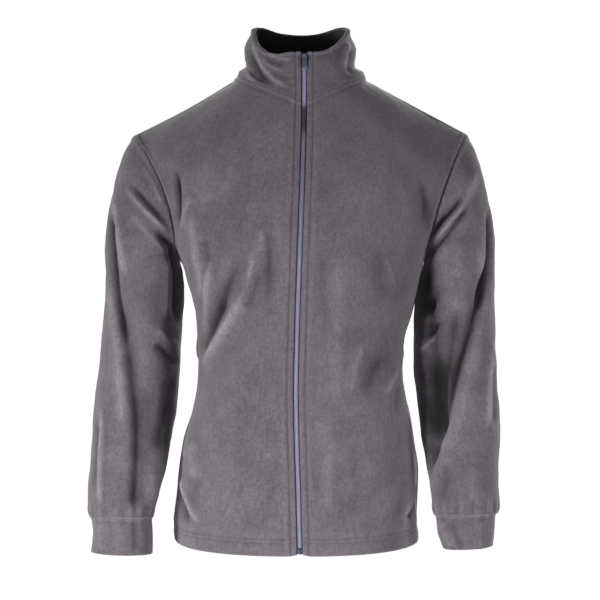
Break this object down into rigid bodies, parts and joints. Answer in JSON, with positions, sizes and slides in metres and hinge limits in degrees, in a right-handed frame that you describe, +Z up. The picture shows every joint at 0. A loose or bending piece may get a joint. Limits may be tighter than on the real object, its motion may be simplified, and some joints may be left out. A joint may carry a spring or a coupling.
{
  "type": "fleece zip jacket",
  "caption": "Hollow worn jacket of soft grey fleece with a stand collar, full-length front zip with a hanging pull tab, long sleeves and cuff bands.",
  "frame": {"origin": "middle of the neck opening at the height where the shoulder seams meet the collar, where the wearer's shoulders carry the jacket", "axes": "+Z up along the body, front towards -Y, +X towards the wearer's left"},
  "size_m": [0.6086, 0.2738, 0.7776],
  "materials": {
    "fleece": "soft grey brushed fleece",
    "facing": "near-black knit",
    "zip_tape": "slate-grey woven tape",
    "zip_coil": "slate-grey polyester coil",
    "zip_metal": "slate-grey painted metal"
  },
  "bodies": {
    "jacket": {"back": "fleece", "collar": "fleece", "collar_facing": "facing", "cuff_left": "fleece", "cuff_right": "fleece", "front_left": "fleece", "front_right": "fleece", "sleeve_left": "fleece", "sleeve_right": "fleece", "zip_box": "zip_metal", "zip_chain": "zip_coil", "zip_slider": "zip_metal", "zip_tape_left": "zip_tape", "zip_tape_right": "zip_tape"},
    "pull_tab": {"pull_tab": "zip_metal"}
  },
  "joints": [
    {"name": "pull_tab_hinge", "type": "hinge", "parent": "jacket", "child": "pull_tab", "pos_m": [0.00653, -0.0865, 0.02468], "axis": [-1, 0, 0], "range_deg": [0, 150]}
  ]
}
